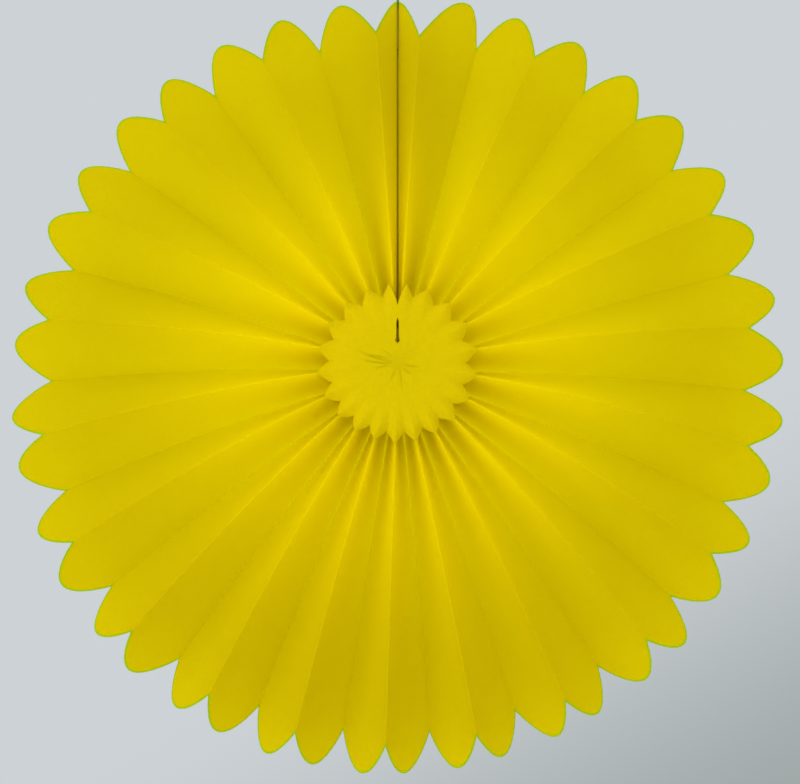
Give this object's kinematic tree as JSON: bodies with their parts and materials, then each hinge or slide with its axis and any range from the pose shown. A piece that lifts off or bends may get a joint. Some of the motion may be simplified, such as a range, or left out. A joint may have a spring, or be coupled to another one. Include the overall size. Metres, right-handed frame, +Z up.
{
  "type": "paper fan rosette",
  "caption": "Round hanging fan of pleated tissue with scalloped petals, a star over its hub, a glued seam stiffened by cards and a thread with a loop to hang it by.",
  "frame": {"origin": "where a hook bears inside the top of the hanging loop", "axes": "+Z up along the taut thread, the fan faces -Y, +X to the right seen from its front"},
  "size_m": [0.3985, 0.0412, 0.4635],
  "materials": {
    "fan_tissue": "matt dyed tissue, slightly translucent",
    "star_tissue": "matt dyed tissue",
    "card": "matt dyed card",
    "tape": "matt adhesive tape",
    "thread": "twisted sewing thread"
  },
  "bodies": {
    "root": {"large_fan": "fan_tissue", "centre_star": "star_tissue", "end_card_left": "card", "end_card_right": "card", "seam_tape": "tape", "gather_thread": "thread", "hanging_thread": "thread", "hanging_loop": "thread"}
  },
  "joints": []
}
